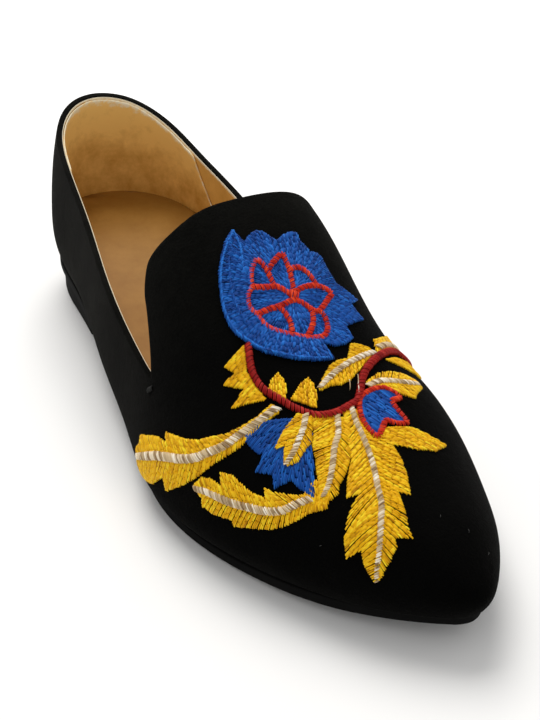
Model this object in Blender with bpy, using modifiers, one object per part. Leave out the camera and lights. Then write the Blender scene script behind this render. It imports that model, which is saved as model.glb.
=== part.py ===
"""Slipper loafer, right shoe: hollow suede upper, leather outsole, low heel and insole.

Metres, +Z up. The shoe stands on Z = 0 with its toe towards -Y and its medial side at +X.
A station is the distance from the back of the heel towards the toe.
"""
import math
from collections import namedtuple

import bmesh
import bpy
import numpy as np

# Driving sizes
LENGTH = 0.260
BALL_WIDTH = 0.096
INSTEP_HEIGHT = 0.080
BACK_HEIGHT = 0.064
NOTCH_HEIGHT_LATERAL = 0.033
NOTCH_HEIGHT_MEDIAL = 0.027
HEEL_HEIGHT = 0.012
TOE_SPRING = 0.0085
UPPER_WALL = 0.002
SOLE_THICKNESS = 0.0035
SOLE_MARGIN = 0.0004
INSOLE_THICKNESS = 0.0022
SEAT_WEDGE = 0.0130
SEAT_GAP = 0.0003
INSOLE_CLEARANCE = 0.0005

# Rounding of the plan at both ends
HEEL_ROUND = 0.034
TOE_ROUND = 0.026
HEEL_SQUARENESS = 2.3
TOE_SQUARENESS = 2.2

# Run of the sole: the seat comes down to the ball, the ball is flat, the toe springs up
SEAT_FRONT = 0.020
SHANK_FRONT = 0.150
SPRING_START = 0.172
HEEL_FRONT = 0.064
HEEL_INSET = 0.0015
SOLE_EDGE_ROUND = 0.0006

# Cut of the collar: a V on each side, and the tongue that rises behind it
NOTCH_LATERAL = 0.151
NOTCH_MEDIAL = 0.1436
TONGUE_REACH = 0.020
RIM = 0.003

# Reach of the line between wall and vamp top at the toe, and how far the wall is drawn in
# at the sole, as shares of the half width
TOE_BAND = 0.55
UNDERCUT = 0.08

# Mesh counts
HEEL_COLUMNS = 7
TOE_COLUMNS = 6
QUARTER_COLUMNS = 14
VAMP_COLUMNS = 12
WALL_ROWS = 8
TONGUE_ROWS = 8
TONGUE_TOP_STEP = 1.5
RUNG_STEPS = 16
PLATE_STEPS = 8
SAMPLES = 60

# Sections of the last, a row for each station.
# station is a share of LENGTH. lateral, medial and ridge_x are shares of BALL_WIDTH.
# girth (the widest line) and ridge are heights over the sole, shares of INSTEP_HEIGHT.
# fullness and shoulder are the exponents of the dome between them.
Section = namedtuple("Section", "station lateral medial ridge_x girth ridge fullness shoulder")
SECTIONS = [
    Section(0.000, 0.275, 0.270, -0.035, 0.175, 0.900, 6.0, 1.7),
    Section(0.130, 0.330, 0.325, -0.010, 0.160, 0.880, 4.8, 1.4),
    Section(0.250, 0.375, 0.355, 0.005, 0.135, 0.965, 4.8, 1.5),
    Section(0.385, 0.440, 0.385, 0.005, 0.095, 0.995, 4.3, 1.5),
    Section(0.520, 0.500, 0.440, 0.010, 0.070, 0.895, 3.8, 1.3),
    Section(0.635, 0.525, 0.485, -0.020, 0.070, 0.665, 2.9, 1.4),
    Section(0.750, 0.480, 0.465, -0.010, 0.075, 0.490, 2.9, 1.7),
    Section(0.865, 0.340, 0.340, 0.005, 0.075, 0.350, 2.5, 1.7),
    Section(0.940, 0.215, 0.220, 0.020, 0.075, 0.260, 2.3, 1.8),
    Section(1.000, 0.115, 0.120, 0.035, 0.075, 0.185, 2.1, 1.7),
]

# Topline of the quarters, from the back of the heel to the V. way is a share of the run
# to the V. lateral and medial are shares of the rise from the V's height to BACK_HEIGHT.
Topline = namedtuple("Topline", "way lateral medial")
TOPLINE = [
    Topline(0.00, 1.00, 1.00),
    Topline(0.25, 0.43, 0.45),
    Topline(0.55, 0.22, 0.20),
    Topline(0.80, 0.04, -0.01),
    Topline(1.00, 0.00, 0.00),
]

# Edge of the tongue, from the lateral V round the top to the medial V.
# across is a share of the reach of the V on that side, back a share of TONGUE_REACH.
TongueEdge = namedtuple("TongueEdge", "across back")
TONGUE = [
    TongueEdge(-1.00, 0.00),
    TongueEdge(-0.97, 0.27),
    TongueEdge(-0.95, 0.55),
    TongueEdge(-0.93, 0.85),
    TongueEdge(-0.91, 1.08),
    TongueEdge(-0.87, 1.17),
    TongueEdge(-0.72, 1.09),
    TongueEdge(-0.50, 1.05),
    TongueEdge(-0.30, 1.05),
    TongueEdge(0.00, 1.02),
    TongueEdge(0.25, 0.97),
    TongueEdge(0.45, 0.94),
    TongueEdge(0.60, 0.95),
    TongueEdge(0.73, 0.99),
    TongueEdge(0.85, 1.06),
    TongueEdge(0.89, 0.88),
    TongueEdge(0.92, 0.56),
    TongueEdge(0.96, 0.28),
    TongueEdge(1.00, 0.00),
]
LATERAL_CORNER = 5
MEDIAL_CORNER = 14

LATERAL, MEDIAL = -1, 1


def natural_spline(xs, ys):
    """Natural cubic spline through the points, as a function of one number."""
    xs, ys = np.array(xs, float), np.array(ys, float)
    step = np.diff(xs)
    slope = np.diff(ys) / step
    count = len(xs)
    matrix = np.eye(count)
    right = np.zeros(count)
    for i in range(1, count - 1):
        matrix[i, i - 1:i + 2] = step[i - 1], 2 * (step[i - 1] + step[i]), step[i]
        right[i] = 6 * (slope[i] - slope[i - 1])
    bend = np.linalg.solve(matrix, right)

    def value(x):
        i = int(np.clip(np.searchsorted(xs, x) - 1, 0, count - 2))
        before, after = x - xs[i], xs[i + 1] - x
        cubic = (bend[i] * after ** 3 + bend[i + 1] * before ** 3) / (6 * step[i])
        start = (ys[i] / step[i] - bend[i] * step[i] / 6) * after
        end = (ys[i + 1] / step[i] - bend[i + 1] * step[i] / 6) * before
        return float(cubic + start + end)
    return value


def column_spline(rows, key, name):
    """Spline of one named column of a table over its key column."""
    return natural_spline([getattr(row, key) for row in rows], [getattr(row, name) for row in rows])


PROFILE = {name: column_spline(SECTIONS, "station", name) for name in Section._fields[1:]}
RISE = {LATERAL: column_spline(TOPLINE, "way", "lateral"), MEDIAL: column_spline(TOPLINE, "way", "medial")}
NOTCH = {LATERAL: NOTCH_LATERAL, MEDIAL: NOTCH_MEDIAL}
NOTCH_HEIGHT = {LATERAL: NOTCH_HEIGHT_LATERAL, MEDIAL: NOTCH_HEIGHT_MEDIAL}


def share(name, station):
    """Value of a section column at a station."""
    return PROFILE[name](min(max(station / LENGTH, 0.0), 1.0))


def ease(way):
    """Smooth step from 0 to 1."""
    way = min(max(way, 0.0), 1.0)
    return way * way * (3 - 2 * way)


def half_width(station, side):
    """Half width of the last at its widest line."""
    return BALL_WIDTH * share("lateral" if side == LATERAL else "medial", station)


def ridge_x(station):
    """Sideways place of the last's ridge."""
    return BALL_WIDTH * share("ridge_x", station)


def seat_share(station):
    """1 on the seat and 0 from the ball on."""
    return ease((SHANK_FRONT - station) / (SHANK_FRONT - SEAT_FRONT))


def sole_top(station):
    """Height of the outsole's upper face."""
    spring = max(station - SPRING_START, 0.0) / (LENGTH - SPRING_START)
    return SOLE_THICKNESS + HEEL_HEIGHT * seat_share(station) + TOE_SPRING * spring ** 2


def feather(station):
    """Height of the upper's lower edge."""
    return sole_top(station) + SEAT_GAP


def girth_line(station):
    """Height of the widest line."""
    return feather(station) + INSTEP_HEIGHT * share("girth", station)


def ridge_line(station):
    """Height of the last's ridge."""
    return feather(station) + INSTEP_HEIGHT * share("ridge", station)


def dome(station, reach):
    """Height of the upper where reach is 0 at the ridge and 1 at the widest line."""
    low, top = girth_line(station), ridge_line(station)
    fall = 1 - min(max(reach, 0.0), 1.0) ** share("fullness", station)
    return low + (top - low) * fall ** (1 / share("shoulder", station))


def reach_at(station, height):
    """Reach at which the dome has a height."""
    low, top = girth_line(station), ridge_line(station)
    rise = min(max((height - low) / (top - low), 0.0), 1.0)
    return (1 - rise ** share("shoulder", station)) ** (1 / share("fullness", station))


def topline(station, side):
    """Height of the quarter's top edge."""
    way = min(max(station / NOTCH[side], 0.0), 1.0)
    low = NOTCH_HEIGHT[side]
    return feather(station) + low + (BACK_HEIGHT - low) * RISE[side](way)


# A column is a line up the wall. across and along say which way it leaves the spine:
# sideways on the ladder, and round a superellipse at heel and toe.
Column = namedtuple("Column", "zone across along station side")


def side_columns(side):
    """Columns of one side, from the middle of the heel to the middle of the toe."""
    columns = []
    for i in range(HEEL_COLUMNS):
        turn = math.pi / 2 * (1 - i / HEEL_COLUMNS)
        across = math.cos(turn) ** (2 / HEEL_SQUARENESS)
        along = math.sin(turn) ** (2 / HEEL_SQUARENESS)
        columns.append(Column("heel", side * across, along, HEEL_ROUND, side))
    toe_start = LENGTH - TOE_ROUND
    for i in range(QUARTER_COLUMNS):
        station = HEEL_ROUND + (NOTCH[side] - HEEL_ROUND) * i / QUARTER_COLUMNS
        columns.append(Column("side", side, 0.0, station, side))
    for i in range(VAMP_COLUMNS):
        station = NOTCH[side] + (toe_start - NOTCH[side]) * i / VAMP_COLUMNS
        columns.append(Column("side", side, 0.0, station, side))
    for i in range(TOE_COLUMNS + 1):
        turn = math.pi / 2 * i / TOE_COLUMNS
        across = max(math.cos(turn), 0.0) ** (2 / TOE_SQUARENESS)
        columns.append(Column("toe", side * across, math.sin(turn) ** (2 / TOE_SQUARENESS), toe_start, side))
    return columns


COLUMNS = {side: side_columns(side) for side in (LATERAL, MEDIAL)}
NOTCH_COLUMN = HEEL_COLUMNS + QUARTER_COLUMNS
TOE_COLUMN = NOTCH_COLUMN + VAMP_COLUMNS + TOE_COLUMNS


def plan(column, reach):
    """Sideways place and station on a column, where reach is 0 at the ridge and 1 at the widest line."""
    station = column.station
    if column.zone == "heel":
        station -= reach * column.along * HEEL_ROUND
    if column.zone == "toe":
        station += reach * column.along * TOE_ROUND
    return ridge_x(station) + reach * column.across * half_width(station, column.side), station


def place(x, station, height):
    """Point of the model, with the toe towards -Y."""
    return np.array([x, -station, height])


def wall_point(column, way):
    """Point of the wall: way 0 is the lower edge, 1 the widest line and 2 the ridge."""
    if way < 1:
        x, station = plan(column, 1 - UNDERCUT * (1 - way) ** 2)
        low = feather(station)
        return place(x, station, low + (girth_line(station) - low) * way)
    reach = math.cos((way - 1) * math.pi / 2)
    x, station = plan(column, reach)
    return place(x, station, dome(station, reach))


def skin_point(x, station):
    """Point of the vamp top over a place in the plan."""
    side = LATERAL if x < ridge_x(station) else MEDIAL
    across = abs(x - ridge_x(station)) / half_width(station, side)
    along = max(station - (LENGTH - TOE_ROUND), 0.0) / TOE_ROUND
    reach = (across ** TOE_SQUARENESS + along ** TOE_SQUARENESS) ** (1 / TOE_SQUARENESS)
    return place(x, station, dome(station, reach))


def spread(points, steps, first=0.0, last=0.0):
    """Points at even distances along a fine polyline, with a first and a last step of given length."""
    points = np.array(points)
    lengths = np.concatenate([[0], np.cumsum(np.linalg.norm(np.diff(points, axis=0), axis=1))])
    total = lengths[-1]
    first, last = min(first, total / steps), min(last, total / steps)
    inner = steps - (first > 0) - (last > 0)
    marks = list(np.linspace(first, total - last, inner + 1))
    marks = ([0.0] if first > 0 else []) + marks + ([total] if last > 0 else [])
    return [np.array([np.interp(mark, lengths, points[:, axis]) for axis in range(3)]) for mark in marks]


def notch_reach(side):
    """Reach at the bottom of the V."""
    return reach_at(NOTCH[side], topline(NOTCH[side], side))


def top_reach(index, side):
    """Reach at which a column's wall ends: at the topline, or at the line that leads to the toe."""
    column = COLUMNS[side][index]
    if index >= NOTCH_COLUMN:
        way = (index - NOTCH_COLUMN) / (TOE_COLUMN - NOTCH_COLUMN)
        return notch_reach(side) + (TOE_BAND - notch_reach(side)) * ease(way)
    reach = 1.0
    for _ in range(4):
        station = plan(column, reach)[1]
        reach = reach_at(station, topline(station, side))
    return reach


def wall_rows(index, side):
    """Points up one column of the wall, the last step as wide as the rim."""
    way_up = 1 + math.acos(top_reach(index, side)) * 2 / math.pi
    fine = [wall_point(COLUMNS[side][index], way_up * i / SAMPLES) for i in range(SAMPLES + 1)]
    return spread(fine, WALL_ROWS, last=RIM)


def tongue_edge():
    """Fine plan points of the tongue's edge as (x, station), and where its corners lie."""
    chord = [0.0]
    for before, after in zip(TONGUE, TONGUE[1:]):
        sideways = (after.across - before.across) * BALL_WIDTH / 2
        backwards = (after.back - before.back) * TONGUE_REACH
        chord.append(chord[-1] + math.hypot(sideways, backwards))
    across = natural_spline(chord, [row.across for row in TONGUE])
    back = natural_spline(chord, [row.back for row in TONGUE])

    def point(length):
        share_across = across(length)
        side = LATERAL if share_across < 0 else MEDIAL
        middle = (NOTCH_LATERAL + NOTCH_MEDIAL) / 2
        base = middle + (NOTCH[side] - middle) * abs(share_across)
        station = base - back(length) * TONGUE_REACH
        x = ridge_x(station) + share_across * notch_reach(side) * half_width(station, side)
        return x, station
    return point, chord[LATERAL_CORNER], chord[MEDIAL_CORNER], chord[-1]


def rung_between(start, end, bulge=None):
    """Fine points over the top from one plan place to another, bent backwards by a function."""
    fine = []
    for i in range(SAMPLES + 1):
        way = (1 - math.cos(math.pi * i / SAMPLES)) / 2
        x = start[0] + (end[0] - start[0]) * way
        station = start[1] + (end[1] - start[1]) * way
        if bulge:
            station += bulge(way)
        fine.append(skin_point(x, station))
    return fine


def tongue_rungs():
    """Rungs of the tongue, from behind the V to the top edge."""
    point, lateral_corner, medial_corner, end = tongue_edge()
    top = [point(lateral_corner + (medial_corner - lateral_corner) * i / SAMPLES) for i in range(SAMPLES + 1)]
    width = top[-1][0] - top[0][0]
    ways = [(x - top[0][0]) / width for x, _ in top]
    bends = [station - top[0][1] - (top[-1][1] - top[0][1]) * way for way, (_, station) in zip(ways, top)]
    rungs = []
    steps = list(range(1, TONGUE_ROWS)) + [TONGUE_ROWS - 1 + TONGUE_TOP_STEP]
    for step in steps:
        rise = step / steps[-1]
        lateral = point(lateral_corner * rise)
        medial = point(end - (end - medial_corner) * rise)
        fine = rung_between(lateral, medial, lambda way: rise * float(np.interp(way, ways, bends)))
        rungs.append(spread(fine, RUNG_STEPS, first=RIM, last=RIM))
    return rungs


def add_grid(mesh, rows):
    """Faces between rows of vertices. A row of one vertex closes the grid in a fan."""
    for low, high in zip(rows, rows[1:]):
        if len(low) == 1:
            low = low * len(high)
        if len(high) == 1:
            high = high * len(low)
        for a, b, c, d in zip(low, low[1:], high[1:], high):
            corners = list(dict.fromkeys([a, b, c, d]))
            mesh.faces.new(corners)


def new_object(name, mesh, colour, roughness):
    """Object of the shoe with its own material."""
    data = bpy.data.meshes.new(name)
    mesh.to_mesh(data)
    mesh.free()
    material = bpy.data.materials.new(name)
    material.use_nodes = True
    shader = material.node_tree.nodes["Principled BSDF"]
    shader.inputs["Base Color"].default_value = (*colour, 1)
    shader.inputs["Roughness"].default_value = roughness
    data.materials.append(material)
    data.shade_smooth()
    data.set_sharp_from_angle(angle=math.radians(40))
    piece = bpy.data.objects.new(name, data)
    collection.objects.link(piece)
    piece.parent = stand
    return piece


def thicken(piece, thickness):
    """Wall of even thickness inside or below the sheet."""
    solid = piece.modifiers.new("wall", "SOLIDIFY")
    solid.thickness = thickness
    solid.offset = -1
    solid.use_even_offset = True


def make_upper():
    """Hollow upper: wall from the sole to the topline, vamp top and tongue, in one sheet with a wall."""
    mesh = bmesh.new()
    wall = {side: [wall_rows(i, side) for i in range(TOE_COLUMN + 1)] for side in (LATERAL, MEDIAL)}
    grid = {side: [[mesh.verts.new(point) for point in rows] for rows in wall[side]] for side in wall}
    for end in (0, TOE_COLUMN):
        for vertex in grid[MEDIAL][end]:
            mesh.verts.remove(vertex)
        grid[MEDIAL][end] = grid[LATERAL][end]
    add_grid(mesh, grid[LATERAL])
    add_grid(mesh, [rows[::-1] for rows in grid[MEDIAL]])
    rungs = []
    for i in range(NOTCH_COLUMN, TOE_COLUMN + 1):
        start, end = grid[LATERAL][i][-1], grid[MEDIAL][i][-1]
        if start is end:
            rungs.append([start])
            continue
        fine = rung_between((start.co.x, -start.co.y), (end.co.x, -end.co.y))
        inner = [mesh.verts.new(point) for point in spread(fine, RUNG_STEPS, first=RIM, last=RIM)[1:-1]]
        rungs.append([start] + inner + [end])
    tongue = [[mesh.verts.new(point) for point in rung] for rung in tongue_rungs()]
    add_grid(mesh, tongue[::-1] + rungs)
    bmesh.ops.recalc_face_normals(mesh, faces=mesh.faces[:])
    crown = max(mesh.faces, key=lambda face: face.calc_center_median().z)
    if crown.normal.z < 0:
        bmesh.ops.reverse_faces(mesh, faces=mesh.faces[:])
    upper = new_object("upper", mesh, (0.012, 0.011, 0.011), 0.9)
    thicken(upper, UPPER_WALL)
    return upper


def outline(margin, rise=None):
    """Places round the upper's wall on each side, moved out by a margin along their own normal.

    They follow its lower edge, or the wall at the height over it that rise gives for a station.
    """
    def spot(column):
        if rise is None:
            return np.array(plan(column, 1 - UNDERCUT))
        station = plan(column, 1)[1]
        way = min(rise(station) / (girth_line(station) - feather(station)), 1.0)
        return np.array(plan(column, 1 - UNDERCUT * (1 - way) ** 2))
    lateral = [spot(column) for column in COLUMNS[LATERAL]]
    medial = [spot(column) for column in COLUMNS[MEDIAL]]
    ring = lateral + medial[-2:0:-1]
    moved = []
    for i, point in enumerate(ring):
        run = ring[(i + 1) % len(ring)] - ring[i - 1]
        normal = np.array([-run[1], run[0]]) / np.linalg.norm(run)
        moved.append(point + normal * margin)
    return {LATERAL: moved[:TOE_COLUMN + 1], MEDIAL: [moved[0]] + moved[:TOE_COLUMN - 1:-1]}


def cut_outline(places, last_station):
    """Places of one side up to a station, the last one on it."""
    kept = [spot for spot in places if spot[1] < last_station]
    if len(kept) < len(places):
        before, after = places[len(kept) - 1], places[len(kept)]
        way = (last_station - before[1]) / (after[1] - before[1])
        kept.append(before + (after - before) * way)
    return kept


def plate_rows(mesh, sides, height):
    """Rows of vertices across a sheet between its two sides, with its height read at each station."""
    rows = []
    for start, end in zip(sides[LATERAL], sides[MEDIAL]):
        steps = 0 if math.dist(start, end) < SEAT_GAP else PLATE_STEPS
        row = []
        for i in range(steps + 1):
            x, station = start + (end - start) * i / max(steps, 1)
            row.append(mesh.verts.new(place(x, station, height(station))))
        rows.append(row)
    return rows


def plate_mesh(margin, height, last_station=None):
    """Sheet at a margin from the upper's lower edge."""
    mesh = bmesh.new()
    sides = outline(margin)
    if last_station:
        sides = {side: cut_outline(places, last_station) for side, places in sides.items()}
    add_grid(mesh, plate_rows(mesh, sides, height))
    bmesh.ops.recalc_face_normals(mesh, faces=mesh.faces[:])
    if mesh.faces[:][0].normal.z < 0:
        bmesh.ops.reverse_faces(mesh, faces=mesh.faces[:])
    return mesh


def soften_edges(piece, width):
    """Small round on the sharp edges."""
    bevel = piece.modifiers.new("edge", "BEVEL")
    bevel.width = width
    bevel.segments = 1
    bevel.limit_method = "ANGLE"
    bevel.angle_limit = math.radians(50)


def make_outsole():
    """Thin sole with arch and toe spring, a hair wider than the upper."""
    outsole = new_object("outsole", plate_mesh(SOLE_MARGIN, sole_top), (0.03, 0.026, 0.024), 0.5)
    thicken(outsole, SOLE_THICKNESS)
    soften_edges(outsole, SOLE_EDGE_ROUND)
    return outsole


def wedge(station):
    """Extra thickness that lifts the heel inside the shoe."""
    return SEAT_WEDGE * seat_share(station)


def insole_top(station):
    """Height of the sock that the foot stands on."""
    return feather(station) + INSOLE_THICKNESS + wedge(station)


def make_insole():
    """Insole board, heel wedge and sock in one, inside the wall of the upper and leaning with it."""
    margin = -(UPPER_WALL + INSOLE_CLEARANCE)
    mesh = bmesh.new()
    foot = plate_rows(mesh, outline(margin), feather)
    face = plate_rows(mesh, outline(margin, wedge), insole_top)
    add_grid(mesh, foot)
    add_grid(mesh, face)
    for end in (0, -1):
        add_grid(mesh, [[row[end] for row in foot], [row[end] for row in face]])
    bmesh.ops.recalc_face_normals(mesh, faces=mesh.faces[:])
    return new_object("insole", mesh, (0.50, 0.30, 0.12), 0.55)


def make_heel():
    """Low block under the seat, its top against the sole and its foot flat on the floor."""
    mesh = plate_mesh(SOLE_MARGIN - HEEL_INSET, lambda station: sole_top(station) - SOLE_THICKNESS - SEAT_GAP,
                      HEEL_FRONT)
    grown = bmesh.ops.extrude_face_region(mesh, geom=mesh.faces[:], use_keep_orig=True)
    for vertex in [item for item in grown["geom"] if isinstance(item, bmesh.types.BMVert)]:
        vertex.co.z = 0.0
    bmesh.ops.recalc_face_normals(mesh, faces=mesh.faces[:])
    heel = new_object("heel", mesh, (0.02, 0.018, 0.017), 0.5)
    soften_edges(heel, SOLE_EDGE_ROUND)
    return heel


def centre_on_origin(pieces):
    """Move the stand so that the middle of the box's foot is the origin."""
    depsgraph = bpy.context.evaluated_depsgraph_get()
    points = []
    for piece in pieces:
        points += [vertex.co[:] for vertex in piece.evaluated_get(depsgraph).data.vertices]
    points = np.array(points)
    middle = (points.min(axis=0) + points.max(axis=0)) / 2
    stand.location = (-middle[0], -middle[1], 0.0)


for item in list(bpy.data.objects):
    bpy.data.objects.remove(item)
collection = bpy.data.collections.new("slipper_loafer")
bpy.context.scene.collection.children.link(collection)
stand = bpy.data.objects.new("stand", None)
collection.objects.link(stand)
centre_on_origin([make_upper(), make_outsole(), make_insole(), make_heel()])
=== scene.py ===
"""Black suede slipper loafer, right shoe, with an embroidered flower spray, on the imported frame.

Metres, +Z up, toe towards -Y, medial side towards +X. The embroidery is charted on the vamp in
millimetres: across runs over the skin from the ridge, + to the medial side, and station runs
from the back of the heel to the toe.
"""
import math
import random

import bmesh
import bpy
import numpy as np
from mathutils import Matrix, Vector
from mathutils.bvhtree import BVHTree


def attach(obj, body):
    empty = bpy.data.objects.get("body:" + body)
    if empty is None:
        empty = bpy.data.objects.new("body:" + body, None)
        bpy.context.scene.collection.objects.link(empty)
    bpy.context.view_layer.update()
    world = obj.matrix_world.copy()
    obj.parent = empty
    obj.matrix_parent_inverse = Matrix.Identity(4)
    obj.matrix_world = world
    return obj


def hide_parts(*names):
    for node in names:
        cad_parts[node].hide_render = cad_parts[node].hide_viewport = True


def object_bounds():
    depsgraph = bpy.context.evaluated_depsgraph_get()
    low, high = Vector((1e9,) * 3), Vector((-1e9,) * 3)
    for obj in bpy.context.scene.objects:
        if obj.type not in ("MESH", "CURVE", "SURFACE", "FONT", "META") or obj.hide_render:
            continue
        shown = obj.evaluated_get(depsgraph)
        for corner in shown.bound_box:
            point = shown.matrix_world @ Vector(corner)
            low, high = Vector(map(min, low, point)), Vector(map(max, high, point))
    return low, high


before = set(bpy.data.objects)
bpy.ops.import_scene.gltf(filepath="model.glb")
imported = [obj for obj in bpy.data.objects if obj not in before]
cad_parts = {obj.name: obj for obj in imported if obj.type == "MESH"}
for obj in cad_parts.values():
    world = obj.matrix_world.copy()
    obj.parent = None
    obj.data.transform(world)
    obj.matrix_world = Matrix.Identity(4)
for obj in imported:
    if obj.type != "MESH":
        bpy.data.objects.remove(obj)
cad_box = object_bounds()

MM = 0.001
HEEL_BACK = cad_box[1].y
rng = random.Random(7)

# Camera, fitted to the outline in the photograph (metres, pixels of the photograph)
CAMERA_AZIMUTH = math.radians(-36.1)
CAMERA_ELEVATION = math.radians(30.0)
CAMERA_ROLL = math.radians(5.28)
CAMERA_DISTANCE = 0.3644
CAMERA_TARGET = Vector((0.0422, -0.0140, 0.0395))
LENS_PIXELS = 795.6
PICTURE_HEIGHT = 720
# The camera turns to the middle of the shoe, which lies this far to the right of and above the middle of
# the photograph (negative: left and below), and its lens is longer, so that the shoe fills the frame
SHOE_MIDDLE_PIXELS = (-69, -43)
LENS_GAIN = 1.32

# Suede and lining (lengths in metres)
SHARP = math.radians(50)
FOLD_CREASE = 0.55
SOCK_CREASE = 0.7
LINING_GAP = 0.0001
LINING_THICKNESS = 0.0005
LINING_DROP = 0.0002
LINING_TUCK = 0.0011
RIM_LOWEST = 0.027

# Heel grip: its turning axis, its foot, and its front edges in degrees ahead of the axis
GRIP_THICKNESS = 0.0008
GRIP_GAP = 0.0001
GRIP_AXIS = Vector((0.003, HEEL_BACK - 0.045, 0))
GRIP_REACH = 0.08
GRIP_FOOT = 0.0295
GRIP_FRONT_TOP = 12.5
GRIP_FRONT_SWEEP = 31.0
RIM_SEARCH = (0.035, 0.09)
RIM_STEP = 0.0004
RIM_MARGIN = 0.0008

# Sole at the toe (lengths in metres)
SOLE_CREASE = 0.8
TOE_TUCK = 0.0022
TOE_MIDDLE = 0.0066
TUCK_START = 0.222
TUCK_LENGTH = 0.036
TUCK_NARROWING = 55.0

# Threads (lengths in millimetres): radius, distance of the rows, lengths, and a stitch's swell along its way
THREAD = 0.26
PITCH = 0.46
STITCH = 2.1
STITCH_WAYS = np.array([0.0, 0.10, 0.35, 0.65, 0.90, 1.0])
STITCH_SWELL = np.array([0.6, 0.9, 1.0, 1.0, 0.9, 0.6])
LONG_STITCH = 4.0
PETAL_STITCH = 1.9
SHORTEST_STITCH = 0.5
SHORTEST_ROW = 0.3
SATIN_THREAD = 0.25
SATIN_PITCH = 0.6
LEAF_LEAN = math.radians(52)
HEART_GAP = 0.6
RING_OVERLAP = 0.3
BAR_WIDTH = 1.1
BAR_REACH = 1.7
BAR_FROM_CUT = (1.4, 1.6)
LOOSE_THREAD = 0.16
LINT_THREAD = 0.05

# Stage (metres, watts)
FLOOR_SIZE = 6.0
LAMP_PLACE = (0.15, 0.75, 1.15)
LAMP_SIZE = 0.9
LAMP_POWER = 16
LAMP_AIM = (0, 0, 0.03)
SURROUND = 0.62


# Materials

def shader_tree(name):
    """New material with its tree and its Principled shader."""
    material = bpy.data.materials.new(name)
    material.use_nodes = True
    tree = material.node_tree
    return material, tree, tree.nodes["Principled BSDF"]


def add(tree, kind, **settings):
    """Node of a kind with its properties and, by name, its input values."""
    node = tree.nodes.new(kind)
    for key, value in settings.items():
        if key in node.inputs:
            node.inputs[key].default_value = value
        else:
            setattr(node, key, value)
    return node


def join(tree, source, target):
    """Link of two sockets."""
    tree.links.new(source, target)


def noise(tree, place, scale, detail=2.0, rough=0.5):
    """Noise at a scale per metre."""
    node = add(tree, "ShaderNodeTexNoise", Scale=scale, Detail=detail, Roughness=rough)
    join(tree, place, node.inputs["Vector"])
    return node.outputs["Fac"]


def ramp(tree, value, stops):
    """Colour ramp over a value, stops as (place, colour)."""
    node = add(tree, "ShaderNodeValToRGB")
    band = node.color_ramp
    while len(band.elements) < len(stops):
        band.elements.new(0.5)
    for element, (place, colour) in zip(band.elements, stops):
        element.position = place
        element.color = (*colour, 1)
    join(tree, value, node.inputs["Fac"])
    return node.outputs["Color"]


def bump(tree, shader, height, strength, distance, below=None):
    """Bump from a height onto a shader's normal."""
    node = add(tree, "ShaderNodeBump", Strength=strength, Distance=distance)
    join(tree, height, node.inputs["Height"])
    if below:
        join(tree, below, node.inputs["Normal"])
    join(tree, node.outputs["Normal"], shader.inputs["Normal"])
    return node.outputs["Normal"]


def finish_of(shader, roughness, specular):
    """Constant gloss values of a shader."""
    shader.inputs["Roughness"].default_value = roughness
    shader.inputs["Specular IOR Level"].default_value = specular


def spread_of(tree, value, low, high, least=0.0, curve="SMOOTHSTEP"):
    """Value spread from a least amount at low to 1 at high."""
    node = add(tree, "ShaderNodeMapRange", interpolation_type=curve)
    for key, setting in (("From Min", low), ("From Max", high), ("To Min", least)):
        node.inputs[key].default_value = setting
    join(tree, value, node.inputs["Value"])
    return node.outputs["Result"]


def weighed(tree, value, weight, plus):
    """Value times a weight, plus another value."""
    node = add(tree, "ShaderNodeMath", operation="MULTIPLY_ADD")
    join(tree, value, node.inputs[0])
    node.inputs[1].default_value = weight
    join(tree, plus, node.inputs[2])
    return node.outputs[0]


def suede_material(name, deep, brushed_and_lit, sheen):
    """Suede with a short patchy nap, with painted shade over the vamp and painted light towards the heel, by
    an amount fitted to the photograph.
    """
    material, tree, shader = shader_tree(name)
    place = add(tree, "ShaderNodeTexCoord").outputs["Object"]
    nap = noise(tree, place, 1500, 3, 0.75)
    strokes = noise(tree, place, 230, 4, 0.7)
    patches = noise(tree, place, 34, 3)
    for layer, weight in ((strokes, 0.6), (nap, 0.9)):
        patches = weighed(tree, layer, weight, patches)
    split = add(tree, "ShaderNodeSeparateXYZ")
    join(tree, place, split.inputs[0])
    light = add(tree, "ShaderNodeMath", operation="MULTIPLY")
    join(tree, spread_of(tree, patches, 0.8, 1.7, curve="LINEAR"), light.inputs[0])
    # Painted shade and light: along Y the nap's tone is scaled from 0.12 of itself over the vamp and toe up
    # to full on the quarters towards the heel.
    join(tree, spread_of(tree, split.outputs["Y"], -0.05, 0.05, 0.12), light.inputs[1])
    join(tree, ramp(tree, light.outputs[0], [(0.0, deep), (1.0, brushed_and_lit)]), shader.inputs["Base Color"])
    low = bump(tree, shader, strokes, 0.6, 0.0008)
    bump(tree, shader, nap, 1.0, 0.0004, low)
    finish_of(shader, 1.0, 0.04)
    shader.inputs["Sheen Weight"].default_value = sheen
    shader.inputs["Sheen Roughness"].default_value = 0.3
    shader.inputs["Sheen Tint"].default_value = (0.95, 0.92, 0.84, 1)
    return material


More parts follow.
